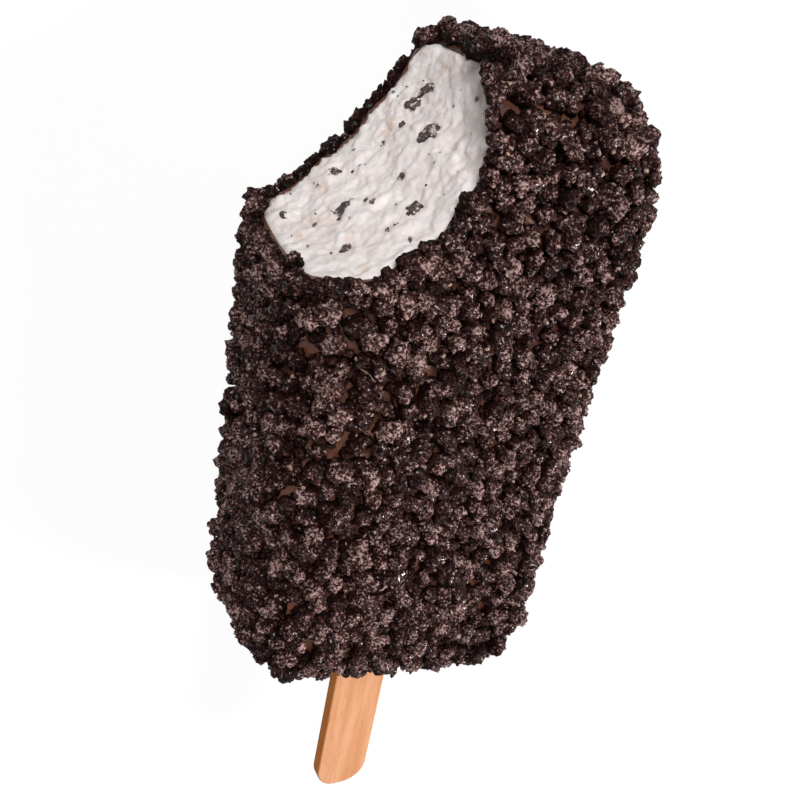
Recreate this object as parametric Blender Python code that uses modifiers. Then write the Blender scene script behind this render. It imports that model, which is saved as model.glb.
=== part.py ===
"""An ice cream bar on a wooden stick, lying on its back with one corner bitten off.

Frame: metres, +Z up. The bar lies flat on Z = 0 with its front face up. +Y runs from the stick to the
rounded tip, and +X is the right-hand side of the front face. The origin is under the middle of the
whole length, stick included.

Four pieces, from the inside out: the stick, the ice cream, a thin chocolate coat round it and a crust
of cookie crumbs round the coat. The bite goes through all three layers.
"""

import math

import bmesh
import bpy
from mathutils import Vector, noise

# The bar, over its outermost crumbs.
BAR_WIDTH = 0.0508
BAR_LENGTH = 0.0905
BAR_THICKNESS = 0.0300
TIP_CORNER = 0.0155  # radius of the outline's two corners at the tip
STICK_CORNER = 0.0105  # the same at the stick end
FRONT_RIM = 0.0095  # rounding from the front face into the sides
BACK_RIM = 0.0060  # rounding from the back face, which lies down

# The cast bar isn't square: how far its two ends lean, and how much it narrows towards the stick.
STICK_END_SLANT = 0.0028
BACK_SLANT_SHARE = 0.2  # of that slant, at the back face
LEFT_TAPER = 0.0018
RIGHT_TAPER = 0.0043
TIP_LEAN = 0.0048

# The stick.
STICK_OUT = 0.0302
STICK_IN = 0.0580
STICK_WIDTH = 0.0088
STICK_THICKNESS = 0.0023
STICK_END_RADIUS = 0.0037
STICK_EDGE = 0.00025

# Layers, measured inwards from the outermost crumbs.
CRUST_DEPTH = 0.0022
COAT_THICKNESS = 0.0006
GAP = 0.0003  # between neighbouring pieces

# Crumbs: how far the crust's surface drops between them, and how far apart they are.
CRUMB_RELIEF = 0.0012
CRUMB_SPACING = 0.0046
HOLLOW_STEEPNESS = 1.25
DRIFT_SPACING = 0.0138  # between stretches where the crumbs lie thicker and thinner
DRIFT_SHARE = 0.2  # of the relief
CRUST_CELL = 0.0027  # size of one facet of the crust
REST_SLOPE = -0.97  # where the crust points down more than this, it is pressed flat

# The bite: a deep round cut at the front face, which runs out to a nearly straight one at the back.
# Each centre is (across the bar, past the tip).
BITE_FRONT_RADIUS = 0.0204
BITE_FRONT_CENTRE = Vector((-0.0240, -0.0103))
BITE_FRONT_SWEEP = math.radians(85)  # half of its arc
BITE_BACK_RADIUS = 0.0600
BITE_BACK_CENTRE = Vector((-0.0565, 0.0219))
BITE_BACK_SWEEP = math.radians(32)
BITE_HEADING = math.radians(-40)  # from the arcs' centres to their deepest point
BITE_FAR_CORNER = Vector((-0.0600, 0.0250))
BITE_MARGIN = 0.0040  # how far the cut runs past each face
BITE_LEVELS = 5
TOOTH_COUNT = 7
TOOTH_DEPTH = 0.0006
STEPS_PER_TOOTH = 5

# Facets of round stretches, and what counts as one point, one plane or one smooth surface.
CORNER_STEPS = 6
FRONT_RIM_STEPS = 4
BACK_RIM_STEPS = 3
STICK_STEPS = 8
WELD = 1e-6
FLAT_ANGLE = math.radians(0.5)
SMOOTH_ANGLE = math.radians(35)
EASED_ANGLE = math.radians(60)  # edges of the stick sharper than this are eased
QUARTER = math.pi / 2

STICK_END_Y = -(BAR_LENGTH + STICK_OUT) / 2
BAR_BASE_Y = STICK_END_Y + STICK_OUT
BAR_TIP_Y = BAR_BASE_Y + BAR_LENGTH
BAR_MIDDLE = Vector((0.0, (BAR_BASE_Y + BAR_TIP_Y) / 2, BAR_THICKNESS / 2))
COAT_INSET = CRUST_DEPTH + GAP
CREAM_INSET = COAT_INSET + COAT_THICKNESS + GAP


def clear_scene():
    for old in list(bpy.data.objects):
        bpy.data.objects.remove(old)


def new_collection(name):
    collection = bpy.data.collections.new(name)
    bpy.context.scene.collection.children.link(collection)
    return collection


def finish(name, colour, roughness):
    material = bpy.data.materials.new(name)
    material.use_nodes = True
    shader = material.node_tree.nodes["Principled BSDF"]
    shader.inputs["Base Color"].default_value = (*colour, 1.0)
    shader.inputs["Roughness"].default_value = roughness
    shader.inputs["Metallic"].default_value = 0.0
    return material


def add_object(name, mesh, collection, material=None):
    obj = bpy.data.objects.new(name, mesh)
    collection.objects.link(obj)
    if material:
        mesh.materials.append(material)
    return obj


def add_cutter(name, mesh, collection):
    cutter = add_object(name, mesh, collection)
    cutter.hide_render = True
    cutter.display_type = "WIRE"
    return cutter


def cut(obj, *cutters):
    for cutter in cutters:
        difference = obj.modifiers.new("cut_" + cutter.name, "BOOLEAN")
        difference.operation = "DIFFERENCE"
        difference.solver = "EXACT"
        difference.object = cutter


def evaluated_mesh(obj, name):
    """The finished mesh of a construction object, which is removed."""
    bpy.context.scene.collection.objects.link(obj)
    bpy.context.view_layer.update()
    graph = bpy.context.evaluated_depsgraph_get()
    mesh = bpy.data.meshes.new_from_object(obj.evaluated_get(graph))
    mesh.transform(obj.matrix_world)
    mesh.name = name
    bpy.data.objects.remove(obj)
    return mesh


def arc(x, y, radius, start, sweep, steps):
    angles = [start + sweep * step / steps for step in range(steps + 1)]
    return [(x + radius * math.cos(angle), y + radius * math.sin(angle)) for angle in angles]


def rounded_path(half_width, low_end, high_end, low_radius, high_radius, steps):
    """Points round a rectangle with rounded corners, counter-clockwise from its right-hand side."""
    high_x = half_width - high_radius
    high_y = high_end - high_radius
    low_x = half_width - low_radius
    low_y = low_end + low_radius
    return (
        arc(high_x, high_y, high_radius, 0.0, QUARTER, steps)
        + arc(-high_x, high_y, high_radius, QUARTER, QUARTER, steps)
        + arc(-low_x, low_y, low_radius, 2 * QUARTER, QUARTER, steps)
        + arc(low_x, low_y, low_radius, 3 * QUARTER, QUARTER, steps)
    )


def stacked(sections):
    """A solid whose top face is extruded from each section to the next, the lowest one first.

    A section is a height and its (x, y) points, counter-clockwise and as many as in the others.
    """
    bm = bmesh.new()
    height, points = sections[0]
    base = bm.faces.new([bm.verts.new((x, y, height)) for x, y in points])
    top = base
    for height, points in sections[1:]:
        below = top
        raised = bmesh.ops.extrude_face_region(bm, geom=[below])["geom"]
        top = next(part for part in raised if isinstance(part, bmesh.types.BMFace))
        if below is not base:
            bmesh.ops.delete(bm, geom=[below], context="FACES_ONLY")
        for vert, (x, y) in zip(top.verts, points):
            vert.co = (x, y, height)
    bmesh.ops.recalc_face_normals(bm, faces=bm.faces)
    return bm


def lean(bm):
    """Leans the bar's two ends, and narrows it towards the stick."""
    for vert in bm.verts:
        along = 2 * (vert.co.y - BAR_MIDDLE.y) / BAR_LENGTH
        across = 2 * vert.co.x / BAR_WIDTH
        height = vert.co.z / BAR_THICKNESS
        if along > 0:
            vert.co.y -= TIP_LEAN * along ** 3 * max(0.0, height - BACK_RIM / BAR_THICKNESS)
        else:
            taper = RIGHT_TAPER if across > 0 else LEFT_TAPER
            vert.co.x += taper * along * across
            slant = STICK_END_SLANT * (BACK_SLANT_SHARE + (1 - BACK_SLANT_SHARE) * height)
            vert.co.y += slant * along * across


def bar_block(inset):
    """The bar's rounded block, smaller by inset on every side."""
    sections = []
    for step in range(BACK_RIM_STEPS + 1):
        angle = QUARTER * step / BACK_RIM_STEPS
        radius = BACK_RIM - inset
        sections.append((BACK_RIM - radius * math.cos(angle), BACK_RIM - radius * math.sin(angle)))
    for step in range(FRONT_RIM_STEPS + 1):
        angle = QUARTER * step / FRONT_RIM_STEPS
        radius = FRONT_RIM - inset
        height = BAR_THICKNESS - FRONT_RIM + radius * math.sin(angle)
        sections.append((height, FRONT_RIM - radius * math.cos(angle)))
    return stacked([
        (height, rounded_path(
            BAR_WIDTH / 2 - side,
            BAR_BASE_Y + side,
            BAR_TIP_Y - side,
            STICK_CORNER - side,
            TIP_CORNER - side,
            CORNER_STEPS,
        ))
        for height, side in sections
    ])


def leaning_block(name, inset):
    bm = bar_block(inset)
    lean(bm)
    bmesh.ops.triangulate(bm, faces=bm.faces)
    return as_mesh(bm, name)


def as_mesh(bm, name):
    mesh = bpy.data.meshes.new(name)
    bm.to_mesh(mesh)
    bm.free()
    return mesh


def stick_block(name, grow):
    """The stick as a flat strip with rounded ends, larger by grow on every side."""
    outline = rounded_path(
        STICK_WIDTH / 2 + grow,
        STICK_END_Y - grow,
        BAR_BASE_Y + STICK_IN + grow,
        STICK_END_RADIUS + grow,
        STICK_END_RADIUS + grow,
        STICK_STEPS,
    )
    curve = bpy.data.curves.new(name, "CURVE")
    curve.dimensions = "2D"
    curve.fill_mode = "BOTH"
    curve.extrude = STICK_THICKNESS / 2 + grow
    spline = curve.splines.new("POLY")
    spline.points.add(len(outline) - 1)
    for point, (x, y) in zip(spline.points, outline):
        point.co = (x, y, 0.0, 1.0)
    spline.use_cyclic_u = True
    strip = bpy.data.objects.new(name, curve)
    strip.location.z = BAR_MIDDLE.z
    mesh = evaluated_mesh(strip, name)
    bm = bmesh.new()
    bm.from_mesh(mesh)
    bmesh.ops.remove_doubles(bm, verts=bm.verts, dist=WELD)
    bmesh.ops.dissolve_limit(bm, angle_limit=FLAT_ANGLE, verts=bm.verts, edges=bm.edges)
    bmesh.ops.recalc_face_normals(bm, faces=bm.faces)
    bm.to_mesh(mesh)
    bm.free()
    return mesh


def bite_section(share):
    """The bite's outline, from 0 at the back of the ice cream to 1 at its front, with its tooth marks."""
    radius = BITE_BACK_RADIUS + (BITE_FRONT_RADIUS - BITE_BACK_RADIUS) * share
    sweep = BITE_BACK_SWEEP + (BITE_FRONT_SWEEP - BITE_BACK_SWEEP) * share
    centre = BITE_BACK_CENTRE.lerp(BITE_FRONT_CENTRE, share)
    steps = TOOTH_COUNT * STEPS_PER_TOOTH
    points = [BITE_FAR_CORNER.copy()]
    for step in range(steps + 1):
        angle = BITE_HEADING + sweep * (2 * step / steps - 1)
        scoop = abs(math.sin(math.pi * step / STEPS_PER_TOOTH))
        reach = radius - TOOTH_DEPTH * (1 - scoop)
        points.append(centre + reach * Vector((math.cos(angle), math.sin(angle))))
    return [(point.x, BAR_TIP_Y + point.y) for point in points]


def bite_block(name):
    back = CREAM_INSET
    front = BAR_THICKNESS - CREAM_INSET
    shares = [level / BITE_LEVELS for level in range(BITE_LEVELS + 1)]
    sections = [(back + (front - back) * share, bite_section(share)) for share in shares]
    sections.insert(0, (-BITE_MARGIN, bite_section(0.0)))
    sections.append((BAR_THICKNESS + BITE_MARGIN, bite_section(1.0)))
    bm = stacked(sections)
    bmesh.ops.triangulate(bm, faces=bm.faces)
    return as_mesh(bm, name)


def fit_to_bar(bm):
    """Stretches a remeshed block back to the bar's size, which the cells miss by a little."""
    size = (BAR_WIDTH, BAR_LENGTH, BAR_THICKNESS)
    for axis in range(3):
        low = min(vert.co[axis] for vert in bm.verts)
        high = max(vert.co[axis] for vert in bm.verts)
        for vert in bm.verts:
            share = (vert.co[axis] - low) / (high - low) - 0.5
            vert.co[axis] = BAR_MIDDLE[axis] + size[axis] * share


def crumb_relief(point):
    """How far the crust's surface lies under its outermost crumbs at this point."""
    distances, _ = noise.voronoi(point / CRUMB_SPACING)
    hollow = min(1.0, HOLLOW_STEEPNESS * distances[0])
    drift = (1 + noise.noise(point / DRIFT_SPACING)) / 2
    return CRUMB_RELIEF * ((1 - DRIFT_SHARE) * hollow + DRIFT_SHARE * drift)


def crust_block(name):
    """The bar's block in even cells, sunk between the crumbs and pressed flat underneath."""
    block = bpy.data.objects.new(name, as_mesh(bar_block(0.0), name + "_block"))
    even = block.modifiers.new("even_cells", "REMESH")
    even.mode = "VOXEL"
    even.voxel_size = CRUST_CELL
    mesh = evaluated_mesh(block, name)
    bm = bmesh.new()
    bm.from_mesh(mesh)
    fit_to_bar(bm)
    bm.normal_update()
    resting = {vert for vert in bm.verts if vert.normal.z < REST_SLOPE}
    lean(bm)
    bm.normal_update()
    sunk = {vert: vert.co - vert.normal * crumb_relief(vert.co) for vert in bm.verts}
    for vert, place in sunk.items():
        vert.co = place
        if vert in resting:
            vert.co.z = 0.0
    flat = {face for face in bm.faces if all(vert in resting for vert in face.verts)}
    inner = [edge for edge in bm.edges if all(face in flat for face in edge.link_faces)]
    bmesh.ops.dissolve_edges(bm, edges=inner, use_verts=True)
    bmesh.ops.triangulate(bm, faces=bm.faces)
    bm.to_mesh(mesh)
    bm.free()
    return mesh


def main():
    clear_scene()
    bar = new_collection("ice_cream_bar")
    cutters = new_collection("cutters")

    slot = add_cutter("stick_slot", stick_block("stick_slot", GAP), cutters)
    bite = add_cutter("bite", bite_block("bite"), cutters)
    under_crust = add_cutter("under_crust", leaning_block("under_crust", CRUST_DEPTH), cutters)
    under_coat = add_cutter(
        "under_coat", leaning_block("under_coat", COAT_INSET + COAT_THICKNESS), cutters
    )

    birch = finish("birch", (0.86, 0.56, 0.33), 0.55)
    stick = add_object("stick", stick_block("stick", 0.0), bar, birch)
    eased = stick.modifiers.new("eased_edges", "BEVEL")
    eased.width = STICK_EDGE
    eased.segments = 2
    eased.limit_method = "ANGLE"
    eased.angle_limit = EASED_ANGLE

    vanilla = finish("vanilla_ice_cream", (0.86, 0.78, 0.74), 0.60)
    ice_cream = add_object("ice_cream", leaning_block("ice_cream", CREAM_INSET), bar, vanilla)
    cut(ice_cream, bite, slot)

    chocolate = finish("milk_chocolate", (0.16, 0.06, 0.035), 0.40)
    coat = add_object("chocolate_coat", leaning_block("chocolate_coat", COAT_INSET), bar, chocolate)
    cut(coat, under_coat, bite, slot)

    crumbs = finish("cookie_crumbs", (0.035, 0.022, 0.020), 0.75)
    crust = add_object("crumb_crust", crust_block("crumb_crust"), bar, crumbs)
    cut(crust, under_crust, bite, slot)

    for piece in (stick, ice_cream, coat):
        piece.data.shade_smooth()
        piece.data.set_sharp_from_angle(angle=SMOOTH_ANGLE)


main()
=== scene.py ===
import math
import random
import bmesh
import bpy
import numpy as np
from mathutils import Matrix, Vector
from mathutils.bvhtree import BVHTree


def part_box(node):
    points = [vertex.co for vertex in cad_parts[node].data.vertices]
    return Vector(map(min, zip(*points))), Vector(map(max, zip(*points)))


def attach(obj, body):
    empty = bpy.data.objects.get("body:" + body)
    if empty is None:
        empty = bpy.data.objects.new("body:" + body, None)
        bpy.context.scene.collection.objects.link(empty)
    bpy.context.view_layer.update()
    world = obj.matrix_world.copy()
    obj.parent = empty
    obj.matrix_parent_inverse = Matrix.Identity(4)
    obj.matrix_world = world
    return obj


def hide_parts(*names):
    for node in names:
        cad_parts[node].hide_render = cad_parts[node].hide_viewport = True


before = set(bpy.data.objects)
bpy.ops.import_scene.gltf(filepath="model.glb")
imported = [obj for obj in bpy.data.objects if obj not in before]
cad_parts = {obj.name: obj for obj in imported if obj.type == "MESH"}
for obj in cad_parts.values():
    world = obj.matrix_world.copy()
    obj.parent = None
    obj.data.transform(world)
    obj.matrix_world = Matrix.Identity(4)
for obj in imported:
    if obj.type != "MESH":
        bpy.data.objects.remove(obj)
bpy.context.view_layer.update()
mm = 0.001


def unselect():
    if bpy.context.object and bpy.context.object.mode != "OBJECT":
        bpy.ops.object.mode_set(mode="OBJECT")
    bpy.ops.object.select_all(action="DESELECT")


def pick(obj):
    unselect()
    obj.select_set(True)
    bpy.context.view_layer.objects.active = obj


def edit(obj, mode="VERT"):
    pick(obj)
    bpy.ops.object.mode_set(mode="EDIT")
    bpy.ops.mesh.select_mode(type=mode)


def applyAll(obj):
    pick(obj)
    for modifier in list(obj.modifiers):
        bpy.ops.object.modifier_apply(modifier=modifier.name)


# a socket that works in Python sums
class Wire:
    def __init__(self, graph, socket):
        self.graph = graph
        self.socket = socket

    def __add__(self, other):
        return self.graph.maths("ADD", self, other)

    def __radd__(self, other):
        return self.graph.maths("ADD", other, self)

    def __mul__(self, other):
        return self.graph.maths("MULTIPLY", self, other)


class Graph:
    def __init__(self, owner, shader="Principled BSDF"):
        owner.use_nodes = True
        self.tree = owner.node_tree
        self.shader = self.tree.nodes[shader]

    def feed(self, socket, value):
        if isinstance(value, Wire):
            self.tree.links.new(value.socket, socket)
        elif hasattr(value, "__len__") and len(value) == 3 and socket.type == "RGBA":
            socket.default_value = (*value, 1.0)
        else:
            socket.default_value = value

    def node(self, kind, settings=None, output=0, **inputs):
        made = self.tree.nodes.new(kind)
        for name, value in (settings or {}).items():
            if name == "stops":
                self.setStops(made.color_ramp, value)
            else:
                setattr(made, name, value)
        for name, value in inputs.items():
            key = int(name[1:]) if name[0] == "i" and name[1:].isdigit() else name.replace("_", " ")
            self.feed(made.inputs[key], value)
        return Wire(self, made.outputs[output])

    def setStops(self, ramp, stops):
        while len(ramp.elements) < len(stops):
            ramp.elements.new(1.0)
        for element, (place, colour) in zip(ramp.elements, stops):
            element.position = place
            element.color = (*colour, 1.0)

    def maths(self, operation, a, b, clamp=False):
        return self.node("ShaderNodeMath", {"operation": operation, "use_clamp": clamp}, i0=a, i1=b)

    def mix(self, share, a, b):
        return self.node("ShaderNodeMix", {"data_type": "RGBA"}, output=2, i0=share, i6=a, i7=b)

    def coords(self, scale=(1, 1, 1)):
        place = self.node("ShaderNodeTexCoord", output=3)
        return self.node("ShaderNodeMapping", Vector=place, Scale=scale)

    def noise(self, place, scale, detail=3.0, rough=0.55):
        return self.node("ShaderNodeTexNoise", Vector=place, Scale=scale, Detail=detail, Roughness=rough)

    def cells(self, place, scale):
        return self.node("ShaderNodeTexVoronoi", Vector=place, Scale=scale)

    def band(self, value, low, high, start=0.0, end=1.0):
        return self.node(
            "ShaderNodeMapRange", {"interpolation_type": "SMOOTHSTEP"},
            Value=value, From_Min=low, From_Max=high, To_Min=start, To_Max=end,
        )

    def bump(self, height, distance, strength=1.0):
        return self.node("ShaderNodeBump", Strength=strength, Distance=distance, Height=height)

    # 1 where the camera, a reflection or a clear material looks
    def shown(self):
        path = self.tree.nodes.new("ShaderNodeLightPath")
        rays = [Wire(self, path.outputs[f"Is {kind} Ray"]) for kind in ("Camera", "Glossy", "Transmission")]
        return self.maths("ADD", rays[0] + rays[1], rays[2], clamp=True)

    def finish(self, **inputs):
        for name, value in inputs.items():
            self.feed(self.shader.inputs[name.replace("_", " ")], value)


def newMaterial(name):
    material = bpy.data.materials.new(name)
    return Graph(material), material


def wear(obj, material):
    obj.data.materials.clear()
    obj.data.materials.append(material)


# camera, floor and light
cameraValues = {
    "fromStickEnd": Vector((-57.16, 113.05, 106.69)) * mm,
    "ahead": Vector((0.4786, -0.3631, -0.7995)),
    "right": Vector((0.8779, 0.1822, 0.4428)),
    "lens": 36.91,
    "sensor": 36.0,
}
lightValues = {
    "world": 0.04,
    "aimedAt": Vector((0, 15, 12)) * mm,
    "lamps": [
        # name, direction towards the lamp, distance, size, power
        ("keyLamp", (0.70, -0.32, 0.64), 0.60, 0.12, 3.9),
        ("fillLamp", (-0.36, 0.52, 0.77), 0.60, 0.28, 3.0),
    ],
    "floorSize": 3.0,
    "floorColour": (0.93, 0.93, 0.93),
    "floorRoughness": 0.9,
    "floorGlow": 0.94,
    "bounceColour": (0.12, 0.12, 0.12),
}


def makeCamera(v):
    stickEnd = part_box("stick")[0].y
    data = bpy.data.cameras.new("camera")
    camera = bpy.data.objects.new("camera", data)
    bpy.context.scene.collection.objects.link(camera)
    data.sensor_width = v["sensor"]
    data.lens = v["lens"]
    data.clip_start = 1 * mm
    back = -v["ahead"].normalized()
    right = (v["right"] - v["right"].dot(back) * back).normalized()
    up = back.cross(right)
    turn = Matrix((right, up, back)).transposed()
    camera.matrix_world = Matrix.Translation(v["fromStickEnd"] + Vector((0, stickEnd, 0))) @ turn.to_4x4()
    bpy.context.scene.camera = camera


def makeStudio(v):
    world = bpy.data.worlds.new("studio")
    bpy.context.scene.world = world
    sky = Graph(world, "Background")
    sky.finish(Color=(1.0, 1.0, 1.0), Strength=sky.shown() * (1 - v["world"]) + v["world"])
    for name, way, distance, size, power in v["lamps"]:
        data = bpy.data.lights.new(name, "AREA")
        data.shape = "DISK"
        data.size = size
        data.energy = power
        lamp = bpy.data.objects.new(name, data)
        bpy.context.scene.collection.objects.link(lamp)
        way = Vector(way).normalized()
        lamp.location = v["aimedAt"] + way * distance
        lamp.rotation_euler = way.to_track_quat("Z", "Y").to_euler()
    bpy.ops.mesh.primitive_plane_add(size=v["floorSize"], location=(0, 0, 0))
    floor = bpy.context.object
    floor.name = "floor"
    graph, material = newMaterial("paleFloor")
    tree = graph.tree
    shown = graph.shown()
    colour = graph.mix(shown, v["bounceColour"], v["floorColour"])
    graph.finish(Base_Color=colour, Roughness=v["floorRoughness"])
    glow = graph.node("ShaderNodeEmission", Color=(1.0, 1.0, 1.0), Strength=1.0)
    out = tree.nodes["Material Output"]
    both = tree.nodes.new("ShaderNodeMixShader")
    graph.feed(both.inputs[0], shown * v["floorGlow"])
    tree.links.new(graph.shader.outputs[0], both.inputs[1])
    tree.links.new(glow.socket, both.inputs[2])
    tree.links.new(both.outputs[0], out.inputs["Surface"])
    wear(floor, material)
    bpy.context.scene.view_settings.view_transform = "Standard"


makeCamera(cameraValues)
makeStudio(lightValues)
print("camera and studio set")


# shared measuring
def worldTree(obj):
    corners = [v.co.copy() for v in obj.data.vertices]
    faces = [list(p.vertices) for p in obj.data.polygons]
    return BVHTree.FromPolygons(corners, faces)


def copyOfNode(nodeName, pieceName):
    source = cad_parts[nodeName]
    piece = bpy.data.objects.new(pieceName, source.data.copy())
    bpy.context.scene.collection.objects.link(piece)
    edit(piece)
    bpy.ops.mesh.select_all(action="SELECT")
    bpy.ops.mesh.remove_doubles(threshold=0.001 * mm)
    bpy.ops.mesh.customdata_custom_splitnormals_clear()
    bpy.ops.object.mode_set(mode="OBJECT")
    return piece


coatTree = worldTree(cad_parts["chocolate_coat"])
creamTree = worldTree(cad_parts["ice_cream"])
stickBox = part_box("stick")


# ice cream
creamValues = {
    "cell": 0.70 * mm,
    "growth": 0.28 * mm,  # out to the coat, over the gap
    "biteCuts": 2,
    "farFromCoat": 0.75 * mm,
    "pastStick": 1 * mm,
    "lumps": [(4.5 * mm, 0.50 * mm), (1.8 * mm, 0.42 * mm), (0.8 * mm, 0.16 * mm)],
    "colour": (0.95, 0.87, 0.845),
    "shade": (0.89, 0.79, 0.76),
    "stain": (0.72, 0.53, 0.42),
    "speck": (0.33, 0.20, 0.16),
}


def iceCreamMaterial(v):
    graph, material = newMaterial("vanillaIceCream")
    place = graph.coords()
    soft = graph.noise(place, 260.0, 3.0)
    base = graph.mix(graph.band(soft, 0.42, 0.68), v["colour"], v["shade"])
    stain = graph.noise(place, 340.0, 2.0)
    base = graph.mix(graph.band(stain, 0.58, 0.74) * 0.6, base, v["stain"])
    dots = graph.cells(place, 640.0)
    rare = graph.noise(place, 420.0, 2.0)
    mask = graph.band(dots, 0.10, 0.20, 1.0, 0.0) * graph.band(rare, 0.56, 0.66)
    base = graph.mix(mask * 0.75, base, v["speck"])
    grain = graph.noise(place, 2600.0, 4.0, 0.65)
    pits = graph.band(graph.cells(place, 1500.0), 0.05, 0.45)
    height = grain * 0.7 + pits * 0.3
    graph.finish(
        Base_Color=base,
        Roughness=graph.band(soft, 0.3, 0.7, 0.45, 0.62),
        Normal=graph.bump(height, 0.12 * mm, 0.75),
        Subsurface_Weight=0.25,
        Subsurface_Scale=1.2 * mm,
        Specular_IOR_Level=0.4,
    )
    graph.shader.inputs["Subsurface Radius"].default_value = (1.0, 0.8, 0.7)
    return material


def makeIceCream(v):
    piece = copyOfNode("ice_cream", "iceCream")
    remesh = piece.modifiers.new("cells", "REMESH")
    remesh.mode = "VOXEL"
    remesh.voxel_size = v["cell"]
    applyAll(piece)
    edit(piece, "FACE")
    bpy.ops.mesh.select_all(action="DESELECT")
    bpy.ops.object.mode_set(mode="OBJECT")
    for face in piece.data.polygons:
        away = coatTree.find_nearest(face.center)[3]
        face.select = away > v["farFromCoat"] and face.center.y > stickBox[1].y + v["pastStick"]
    bpy.ops.object.mode_set(mode="EDIT")
    bpy.ops.mesh.subdivide(number_cuts=v["biteCuts"])
    bpy.ops.mesh.vertices_smooth(factor=0.5, repeat=3)
    bpy.ops.object.mode_set(mode="OBJECT")
    bite = piece.vertex_groups.new(name="bite")
    chosen = [vert.index for vert in piece.data.vertices if vert.select]
    bite.add(chosen, 1.0, "REPLACE")
    grow = piece.modifiers.new("grow", "DISPLACE")
    grow.strength = v["growth"]
    grow.mid_level = 0.0
    for size, depth in v["lumps"]:
        texture = bpy.data.textures.new("creamLumps", "CLOUDS")
        texture.noise_scale = size
        texture.noise_depth = 1
        rough = piece.modifiers.new("lumps", "DISPLACE")
        rough.texture = texture
        rough.texture_coords = "GLOBAL"
        rough.strength = depth * 2
        rough.mid_level = 0.5
        rough.vertex_group = "bite"
    applyAll(piece)
    piece.data.shade_smooth()
    wear(piece, iceCreamMaterial(v))
    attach(piece, "root")
    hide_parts("ice_cream")
    return piece


iceCream = makeIceCream(creamValues)
print("ice cream done", len(iceCream.data.polygons), "faces")


# chocolate coat: the CAD node keeps its shape
coatValues = {
    "colour": (0.080, 0.026, 0.014),
    "light": (0.170, 0.062, 0.034),
    "roughness": (0.42, 0.60),
}


def coatMaterial(v):
    graph, material = newMaterial("milkChocolate")
    place = graph.coords()
    cloud = graph.noise(place, 500.0, 3.0)
    graph.finish(
        Base_Color=graph.mix(graph.band(cloud, 0.35, 0.7), v["colour"], v["light"]),
        Roughness=graph.band(cloud, 0.3, 0.7, *v["roughness"]),
        Normal=graph.bump(graph.noise(place, 900.0, 3.0), 0.2 * mm, 0.6),
    )
    return material


wear(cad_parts["chocolate_coat"], coatMaterial(coatValues))
print("coat done")


# stick: the CAD node keeps its shape
stickValues = {
    "pale": (0.680, 0.350, 0.190),
    "warm": (0.580, 0.255, 0.115),
    "pore": (0.360, 0.125, 0.045),
    # painted shade: the stick's narrow sides are coloured darker and more orange
    "side": (0.680, 0.225, 0.050),
    "sideBand": (4.20 * mm, 4.38 * mm),  # out from the middle
}


def birchMaterial(v):
    graph, material = newMaterial("birch")
    place = graph.node("ShaderNodeTexCoord", output=3)
    wide = graph.noise(graph.coords(scale=(420, 26, 420)), 1.0, 3.0)
    thin = graph.noise(graph.coords(scale=(2400, 90, 2400)), 1.0, 3.0, 0.6)
    dots = graph.noise(graph.coords(scale=(3600, 300, 3600)), 1.0, 2.0)
    base = graph.mix(graph.band(wide, 0.40, 0.68), v["pale"], v["warm"])
    base = graph.mix(graph.band(thin, 0.45, 0.70) * 0.55, base, v["warm"])
    base = graph.mix(graph.band(dots, 0.60, 0.74) * 0.55, base, v["pore"])
    # painted shade: past the band, both narrow sides take the darker orange
    across = graph.maths("ABSOLUTE", graph.node("ShaderNodeSeparateXYZ", Vector=place), 0.0)
    base = graph.mix(graph.band(across, *v["sideBand"]), base, v["side"])
    graph.finish(
        Base_Color=base,
        Roughness=graph.band(thin, 0.3, 0.7, 0.60, 0.75),
        Specular_IOR_Level=0.15,
        Normal=graph.bump(thin * 0.6 + dots * 0.4, 0.05 * mm, 0.5),
    )
    return material


wear(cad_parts["stick"], birchMaterial(stickValues))
print("stick done")


# cookie crumbs
biteAhead = Vector((math.cos(math.radians(-40)), math.sin(math.radians(-40)), 0))  # seen from above
biteSide = Vector((-biteAhead.y, biteAhead.x, 0))
crumbValues = {
    "seed": 11,
    "paintedShadeHeight": 2.3,  # height over the coat from which crumbs get no painted shade; lower points are painted darker, down to near black at the coat
    "longest": 1.4,  # against the mean radius
    "kinds": {
        # lengths in mm; height is the centre's over the coat
        "crumbBed": {
            "detail": 2, "keep": 0.65, "shapes": 24,
            "radius": (0.60, 1.00), "gap": 1.50, "height": 0.45,
        },
        "crumbLumps": {
            "detail": 3, "keep": 0.72, "shapes": 40,
            "radius": (1.00, 1.75), "gap": 2.05, "height": 1.00,
        },
    },
    "tries": 12,  # for each crumb that fits
    "heightSpread": (0.75, 1.2),
    "flattened": (0.0, 0.12),  # how far above the floor the lowest points are cut, in mm
    "mostTriangles": 190000,  # in one piece
    "wall": 0.6 * mm,  # coat nearer the ice cream than this carries no crumbs
    "stickHole": 40 * mm,  # an edge this far behind the stick's inner end is the hole's
    "rim": {
        "gap": 1.55, "radius": (0.95, 1.45), "height": 1.35,
        "over": (-0.9, 0.15),  # past the edge
        "overAtTip": 2.0,
        "middle": 24.0,
        "half": 14.0,
        "facingUp": 0.2,
        "tries": 30,
    },
    "grains": {
        "count": 9500, "shapes": 24, "radius": (0.13, 0.38), "facingOut": 0.1,
        "pale": 0.04,  # share of them that are pale tan: sugar specks, partly painted highlights
        "sugarAndPaintedGlintTone": 2.0,
    },
    # crumb colour ramp: the near-black low stops carry painted shade, the pale pink top stop painted
    # highlights
    "crumbRampWithPaintedLight": [
        (0.00, (0.003, 0.0006, 0.0004)),
        (0.30, (0.015, 0.0042, 0.0034)),
        (0.50, (0.078, 0.0330, 0.0290)),
        (0.68, (0.440, 0.2850, 0.2680)),
    ],
    # pale tan of a few grains: sugar specks, partly painted highlights
    "sugarAndPaintedGlintColour": (0.44, 0.29, 0.22),
}
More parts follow.
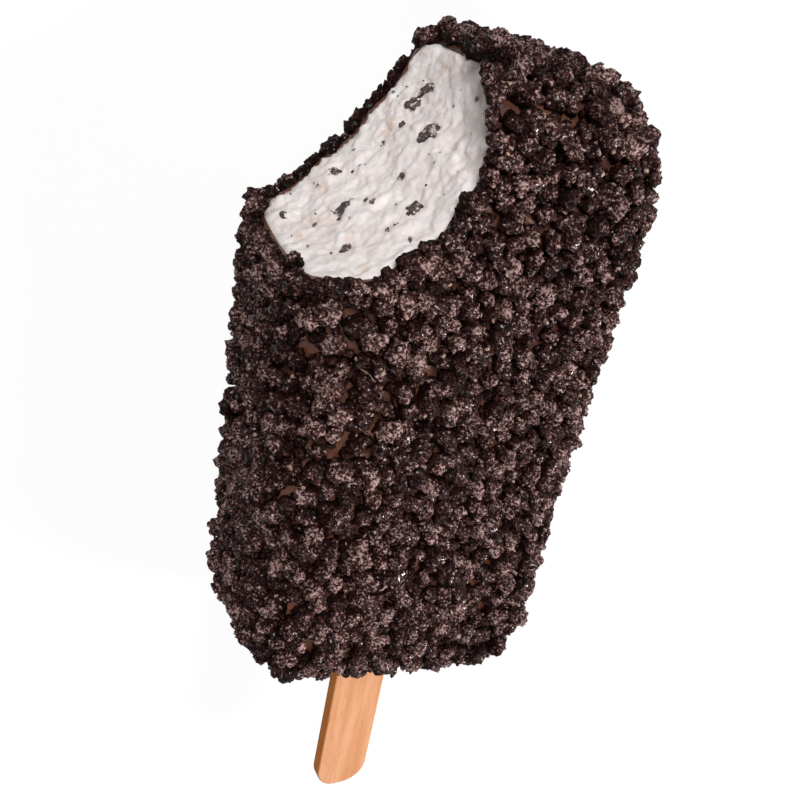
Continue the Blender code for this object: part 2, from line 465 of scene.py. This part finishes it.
# a crumb of radius 1 is stretched, then roughened: kind of texture, size, strength
crumbStretch = ((0.8, 1.25), (0.7, 1.0), (0.6, 0.9))
crumbRoughening = (("CLOUDS", 0.9, 0.9), ("VORONOI", 0.45, 0.7), ("CLOUDS", 0.28, 0.45))


def crumbShape(name, detail, keep, longest, luck):
    # shapes are made far apart, where each meets its own stretch of texture
    bpy.ops.mesh.primitive_ico_sphere_add(
        subdivisions=detail, radius=1.0, location=[luck.uniform(-50, 50) for _ in range(3)]
    )
    shape = bpy.context.object
    shape.name = name
    edit(shape)
    bpy.ops.mesh.select_all(action="SELECT")
    stretch = tuple(luck.uniform(*ends) for ends in crumbStretch)
    bpy.ops.transform.resize(value=stretch, center_override=shape.location)
    bpy.ops.object.mode_set(mode="OBJECT")
    for kind, size, strength in crumbRoughening:
        texture = bpy.data.textures.new(name + kind, kind)
        texture.noise_scale = size
        rough = shape.modifiers.new(kind, "DISPLACE")
        rough.texture = texture
        rough.texture_coords = "GLOBAL"
        rough.strength = strength
        rough.mid_level = 0.5
    thin = shape.modifiers.new("thin", "DECIMATE")
    thin.ratio = keep
    applyAll(shape)
    mesh = shape.data
    points = np.empty(len(mesh.vertices) * 3)
    mesh.vertices.foreach_get("co", points)
    points = points.reshape(-1, 3)
    points -= points.mean(0)
    reach = np.linalg.norm(points, axis=1)
    points /= reach.mean()
    reach = np.linalg.norm(points, axis=1)
    points *= (np.minimum(reach, longest) / reach)[:, None]
    faces = np.array([list(p.vertices) for p in mesh.polygons])
    bpy.data.objects.remove(shape)
    return points, faces


# the coat's outside, and the edges of its rim at the bite
def coatSkin(v):
    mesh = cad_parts["chocolate_coat"].data
    bm = bmesh.new()
    bm.from_mesh(mesh)
    bmesh.ops.remove_doubles(bm, verts=bm.verts, dist=0.001 * mm)
    away = {vert: creamTree.find_nearest(vert.co)[3] for vert in bm.verts}
    walls = {f for f in bm.faces if min(away[vert] for vert in f.verts) < v["wall"]}
    rim = []
    for e in bm.edges:
        faces = sorted(e.link_faces, key=lambda f: f in walls)
        atStick = e.verts[0].co.y < stickBox[1].y - v["stickHole"]
        if len(faces) == 2 and faces[0] not in walls and faces[1] in walls and not atStick:
            a, b = (np.array(vert.co) for vert in e.verts)
            rim.append((a, b, np.array(faces[0].normal), np.array(faces[1].normal)))
    bmesh.ops.delete(bm, geom=list(walls), context="FACES")
    corners = np.array([[vert.co[:] for vert in f.verts] for f in bm.faces])
    bm.free()
    return corners, rim


def alongRim(rim, v, draw):
    lengths = np.array([np.linalg.norm(b - a) for a, b, _, _ in rim])
    count = int(v["tries"] * lengths.sum() / (v["gap"] * mm))
    chosen = draw.choice(len(rim), count, p=lengths / lengths.sum())
    kept = []
    for index in chosen:
        a, b, out, over = rim[index]
        place = a + (b - a) * draw.random()
        if any(np.linalg.norm(place - other) < v["gap"] * mm for other, _, _ in kept):
            continue
        kept.append((place, out, over))
    placed = []
    for place, out, over in kept:
        share = (np.dot(place, biteSide) / mm - v["middle"]) / v["half"]
        reach = draw.uniform(*v["over"])
        if out[2] > v["facingUp"]:
            reach += v["overAtTip"] * min(1.0, max(0.0, share)) ** 2
        placed.append((place + over * reach * mm, out, draw.uniform(*v["radius"]) * mm))
    return placed


def splitSides(corners):
    sides = np.cross(corners[:, 1] - corners[:, 0], corners[:, 2] - corners[:, 0])
    sizes = np.linalg.norm(sides, axis=1)
    return sizes, sides / np.maximum(sizes, 1e-12)[:, None]


def scatter(corners, gap, radii, tries, draw):
    sizes, normals = splitSides(corners)
    count = int(tries * sizes.sum() / 2 / gap ** 2)
    chosen = draw.choice(len(corners), count, p=sizes / sizes.sum())
    u = draw.random((count, 2))
    flip = u.sum(1) > 1
    u[flip] = 1 - u[flip]
    picked = corners[chosen]
    sides = picked[:, 1:] - picked[:, :1]
    places = picked[:, 0] + u[:, :1] * sides[:, 0] + u[:, 1:] * sides[:, 1]
    grid, kept = {}, []
    for index in range(count):
        place = places[index]
        cell = tuple((place // gap).astype(int))
        near = [
            other
            for dx in (-1, 0, 1) for dy in (-1, 0, 1) for dz in (-1, 0, 1)
            for other in grid.get((cell[0] + dx, cell[1] + dy, cell[2] + dz), ())
        ]
        if any(np.dot(places[o] - place, places[o] - place) < gap ** 2 for o in near):
            continue
        grid.setdefault(cell, []).append(index)
        kept.append((place, normals[chosen[index]], draw.uniform(*radii)))
    return kept


def randomTurn(draw):
    q = draw.normal(size=4)
    w, x, y, z = q / np.linalg.norm(q)
    return np.array([
        [1 - 2 * (y * y + z * z), 2 * (x * y - z * w), 2 * (x * z + y * w)],
        [2 * (x * y + z * w), 1 - 2 * (x * x + z * z), 2 * (y * z - x * w)],
        [2 * (x * z - y * w), 2 * (y * z + x * w), 1 - 2 * (x * x + y * y)],
    ])


def joinCopies(name, copies, material, node, smooth=True):
    points = np.concatenate([p for p, _, _, _ in copies])
    offsets = np.cumsum([0] + [len(p) for p, _, _, _ in copies[:-1]])
    faces = np.concatenate([f + offset for (_, f, _, _), offset in zip(copies, offsets)])
    mesh = bpy.data.meshes.new(name)
    mesh.vertices.add(len(points))
    mesh.vertices.foreach_set("co", points.ravel())
    mesh.loops.add(len(faces) * 3)
    mesh.loops.foreach_set("vertex_index", faces.ravel())
    mesh.polygons.add(len(faces))
    mesh.polygons.foreach_set("loop_start", np.arange(len(faces)) * 3)
    mesh.update(calc_edges=True)
    # tone is random for each copy; rise drives the painted shade
    for label, column in (("tone", 2), ("rise", 3)):
        values = np.concatenate([np.zeros(len(copy[0])) + copy[column] for copy in copies])
        mesh.attributes.new(label, "FLOAT", "POINT").data.foreach_set("value", values)
    piece = bpy.data.objects.new(name, mesh)
    bpy.context.scene.collection.objects.link(piece)
    if smooth:
        mesh.shade_smooth()
    wear(piece, material)
    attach(piece, "root")
    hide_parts(node)
    return piece


def crumbMaterial(v):
    graph, material = newMaterial("cocoaCrumb")
    place = graph.coords()
    tone = graph.node("ShaderNodeAttribute", {"attribute_name": "tone"}, output=2)
    rise = graph.node("ShaderNodeAttribute", {"attribute_name": "rise"}, output=2)
    # pale mottle: partly the crumbs' own colour variation, partly painted light for lit faces and
    # highlights
    broad = graph.noise(place, 600.0, 3.0, 0.6)
    fine = graph.noise(place, 2600.0, 3.0, 0.65)
    mottle = graph.band(fine, 0.41, 0.67) * 0.46 + graph.band(broad, 0.36, 0.64) * 0.24
    # painted shade: the colour darkens towards the coat by rise
    shade = (graph.maths("MINIMUM", tone, 1.0) * 0.28 + mottle) * (0.30 + rise * 0.70)
    base = graph.node("ShaderNodeValToRGB", {"stops": v["crumbRampWithPaintedLight"]}, Fac=shade)
    # pale tan grains: sugar specks, partly painted highlights
    base = graph.mix(graph.band(tone, 1.5, 1.9), base, v["sugarAndPaintedGlintColour"])
    pits = graph.band(graph.cells(place, 2000.0), 0.0, 0.6)
    height = fine * 0.6 + pits * 0.4
    graph.finish(
        Base_Color=base,
        Roughness=0.65,
        Normal=graph.bump(height, 0.45 * mm, 1.0),
        Specular_IOR_Level=0.06,
        Coat_Weight=graph.band(graph.noise(place, 1900.0, 2.0), 0.57, 0.64) * 0.8,
        Coat_Roughness=0.22,
    )
    return material


def rest(points, v, draw):
    points[:, 2] = np.maximum(points[:, 2], draw.uniform(*v["flattened"]) * mm)


def placeCrumbs(places, shapes, v, draw):
    copies = []
    for place, normal, radius, height in places:
        points, faces = shapes[draw.integers(len(shapes))]
        centre = place + normal * (height * mm * draw.uniform(*v["heightSpread"]))
        moved = points @ randomTurn(draw).T * radius + centre
        # painted shade: points low over the coat get a small rise and are painted darker in the material
        rise = np.clip((moved - place) @ np.array(normal) / (v["paintedShadeHeight"] * mm), 0, 1)
        rest(moved, v, draw)
        copies.append((moved, faces, draw.random(), rise))
    return copies


# loose grains on the outer faces of the lumps
def placeGrains(lumps, outward, shapes, v, draw):
    grains = v["grains"]
    corners = np.concatenate([points[faces] for points, faces, _, _ in lumps])
    facing = np.concatenate([np.tile(way, (len(lump[1]), 1)) for lump, way in zip(lumps, outward)])
    sizes, normals = splitSides(corners)
    sizes = sizes * ((normals * facing).sum(1) > grains["facingOut"])
    chosen = draw.choice(len(corners), grains["count"], p=sizes / sizes.sum())
    copies = []
    for place in corners[chosen].mean(1):
        points, faces = shapes[draw.integers(len(shapes))]
        radius = draw.uniform(*grains["radius"]) * mm
        moved = points @ randomTurn(draw).T * radius + place
        rest(moved, v, draw)
        tone = grains["sugarAndPaintedGlintTone"] if draw.random() < grains["pale"] else draw.random()
        copies.append((moved, faces, tone, 1.0))
    return copies


def makeCrumbs(v):
    corners, rim = coatSkin(v)
    draw = np.random.default_rng(v["seed"])
    luck = random.Random(v["seed"])
    material = crumbMaterial(v)
    for name, kind in v["kinds"].items():
        shapes = [
            crumbShape(name + str(i), kind["detail"], kind["keep"], v["longest"], luck)
            for i in range(kind["shapes"])
        ]
        radii = [r * mm for r in kind["radius"]]
        spots = scatter(corners, kind["gap"] * mm, radii, v["tries"], draw)
        places = [(*spot, kind["height"]) for spot in spots]
        if name == "crumbLumps":
            places += [(*spot, v["rim"]["height"]) for spot in alongRim(rim, v["rim"], draw)]
        copies = placeCrumbs(places, shapes, v, draw)
        total = sum(len(faces) for _, faces, _, _ in copies)
        parts = 1 + total // v["mostTriangles"]
        print(name, len(copies), "crumbs", total, "triangles", parts, "pieces")
        for part in range(parts):
            joinCopies(name + str(part + 1), copies[part::parts], material, "crumb_crust")
    count = v["grains"]["shapes"]
    shapes = [crumbShape("grain" + str(i), 1, 1.0, v["longest"], luck) for i in range(count)]
    outward = [normal for _, normal, _, _ in places]
    grains = placeGrains(copies, outward, shapes, v, draw)
    joinCopies("crumbGrains", grains, material, "crumb_crust", smooth=False)
    print("grains", len(grains))


makeCrumbs(crumbValues)
print("crumbs done")


# cookie bits in the bite
bitValues = {
    "seed": 5,
    "start": 70,  # where the search for the bite starts, in mm before it
    "placed": [
        # radius, place along the bite, height, in mm
        (1.25, 34.5, 8.8), (1.15, 36.2, 9.6), (1.45, 32.0, 15.8), (1.50, 18.4, 13.6), (1.20, 23.3, 21.4),
        (0.80, 21.7, 7.2), (0.95, 14.4, 19.9), (0.60, 26.0, 16.3), (0.55, 12.8, 8.4), (0.60, 31.5, 9.9),
    ],
    "scattered": 46,
    "along": (10.0, 38.0),
    "height": (4.0, 26.0),
    "small": (0.16, 0.50),
    "mostlySmall": 2.5,
    "sunk": 0.55,
    "shapes": 12,
    "longest": 1.5,
    "clearOfCoat": 1.2 * mm,
    "dark": (0.012, 0.006, 0.006),
    "brown": (0.10, 0.055, 0.045),
    "smear": (0.70, 0.60, 0.57),
}


def bitMaterial(v):
    graph, material = newMaterial("cookieBit")
    place = graph.coords()
    mottle = graph.noise(place, 900.0, 4.0, 0.65)
    smear = graph.noise(place, 1500.0, 3.0, 0.6)
    base = graph.mix(graph.band(mottle, 0.35, 0.65), v["dark"], v["brown"])
    base = graph.mix(graph.band(smear, 0.52, 0.62) * 0.8, base, v["smear"])
    graph.finish(
        Base_Color=base,
        Roughness=0.6,
        Normal=graph.bump(mottle * 0.5 + smear * 0.5, 0.3 * mm, 1.0),
    )
    return material


def makeBits(v):
    draw = np.random.default_rng(v["seed"])
    luck = random.Random(v["seed"])
    shapes = [crumbShape("bit" + str(i), 3, 1.0, v["longest"], luck) for i in range(v["shapes"])]
    surface = worldTree(iceCream)
    places = list(v["placed"])
    for _ in range(v["scattered"]):
        radius = v["small"][0] + (v["small"][1] - v["small"][0]) * draw.random() ** v["mostlySmall"]
        places.append((radius, draw.uniform(*v["along"]), draw.uniform(*v["height"])))
    copies = []
    for radius, along, height in places:
        start = (biteSide * along + Vector((0, 0, height)) - biteAhead * v["start"]) * mm
        hit, normal, _, _ = surface.ray_cast(start, biteAhead)
        if hit is None or coatTree.find_nearest(hit)[3] < v["clearOfCoat"]:
            continue
        points, faces = shapes[draw.integers(len(shapes))]
        centre = np.array(hit - normal * (radius * v["sunk"] * mm))
        copies.append((points @ randomTurn(draw).T * radius * mm + centre, faces, draw.random(), 1.0))
    joinCopies("cookieBits", copies, bitMaterial(v), "ice_cream")
    print("bits", len(copies))


makeBits(bitValues)
print("cookie bits done")
